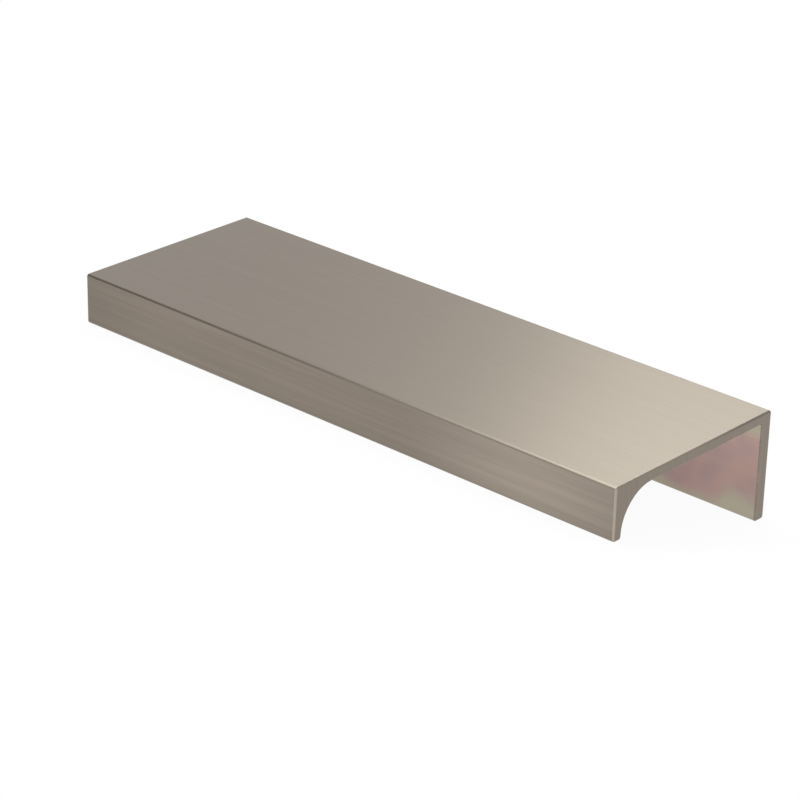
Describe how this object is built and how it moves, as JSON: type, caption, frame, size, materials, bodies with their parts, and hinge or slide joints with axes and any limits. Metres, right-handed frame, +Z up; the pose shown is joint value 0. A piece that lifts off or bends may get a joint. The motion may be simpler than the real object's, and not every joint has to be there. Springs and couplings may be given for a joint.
{
  "type": "edge pull",
  "caption": "One-piece metal edge pull: a flat top plate with a short front lip, hollowed behind for the fingers, and a deeper drilled back flange that screws behind a door or drawer front.",
  "frame": {"origin": "on the floor, under the middle of the bounding box", "axes": "+X along the length, +Y from the front lip to the back flange, +Z up, with the pull lying on its lip and flange tips as it comes to rest on a level floor"},
  "size_m": [0.12, 0.0434, 0.0192],
  "materials": {
    "brushed_nickel": "satin nickel colour, brushed along the length"
  },
  "bodies": {
    "root": {"edge_pull": "brushed_nickel"}
  },
  "joints": []
}
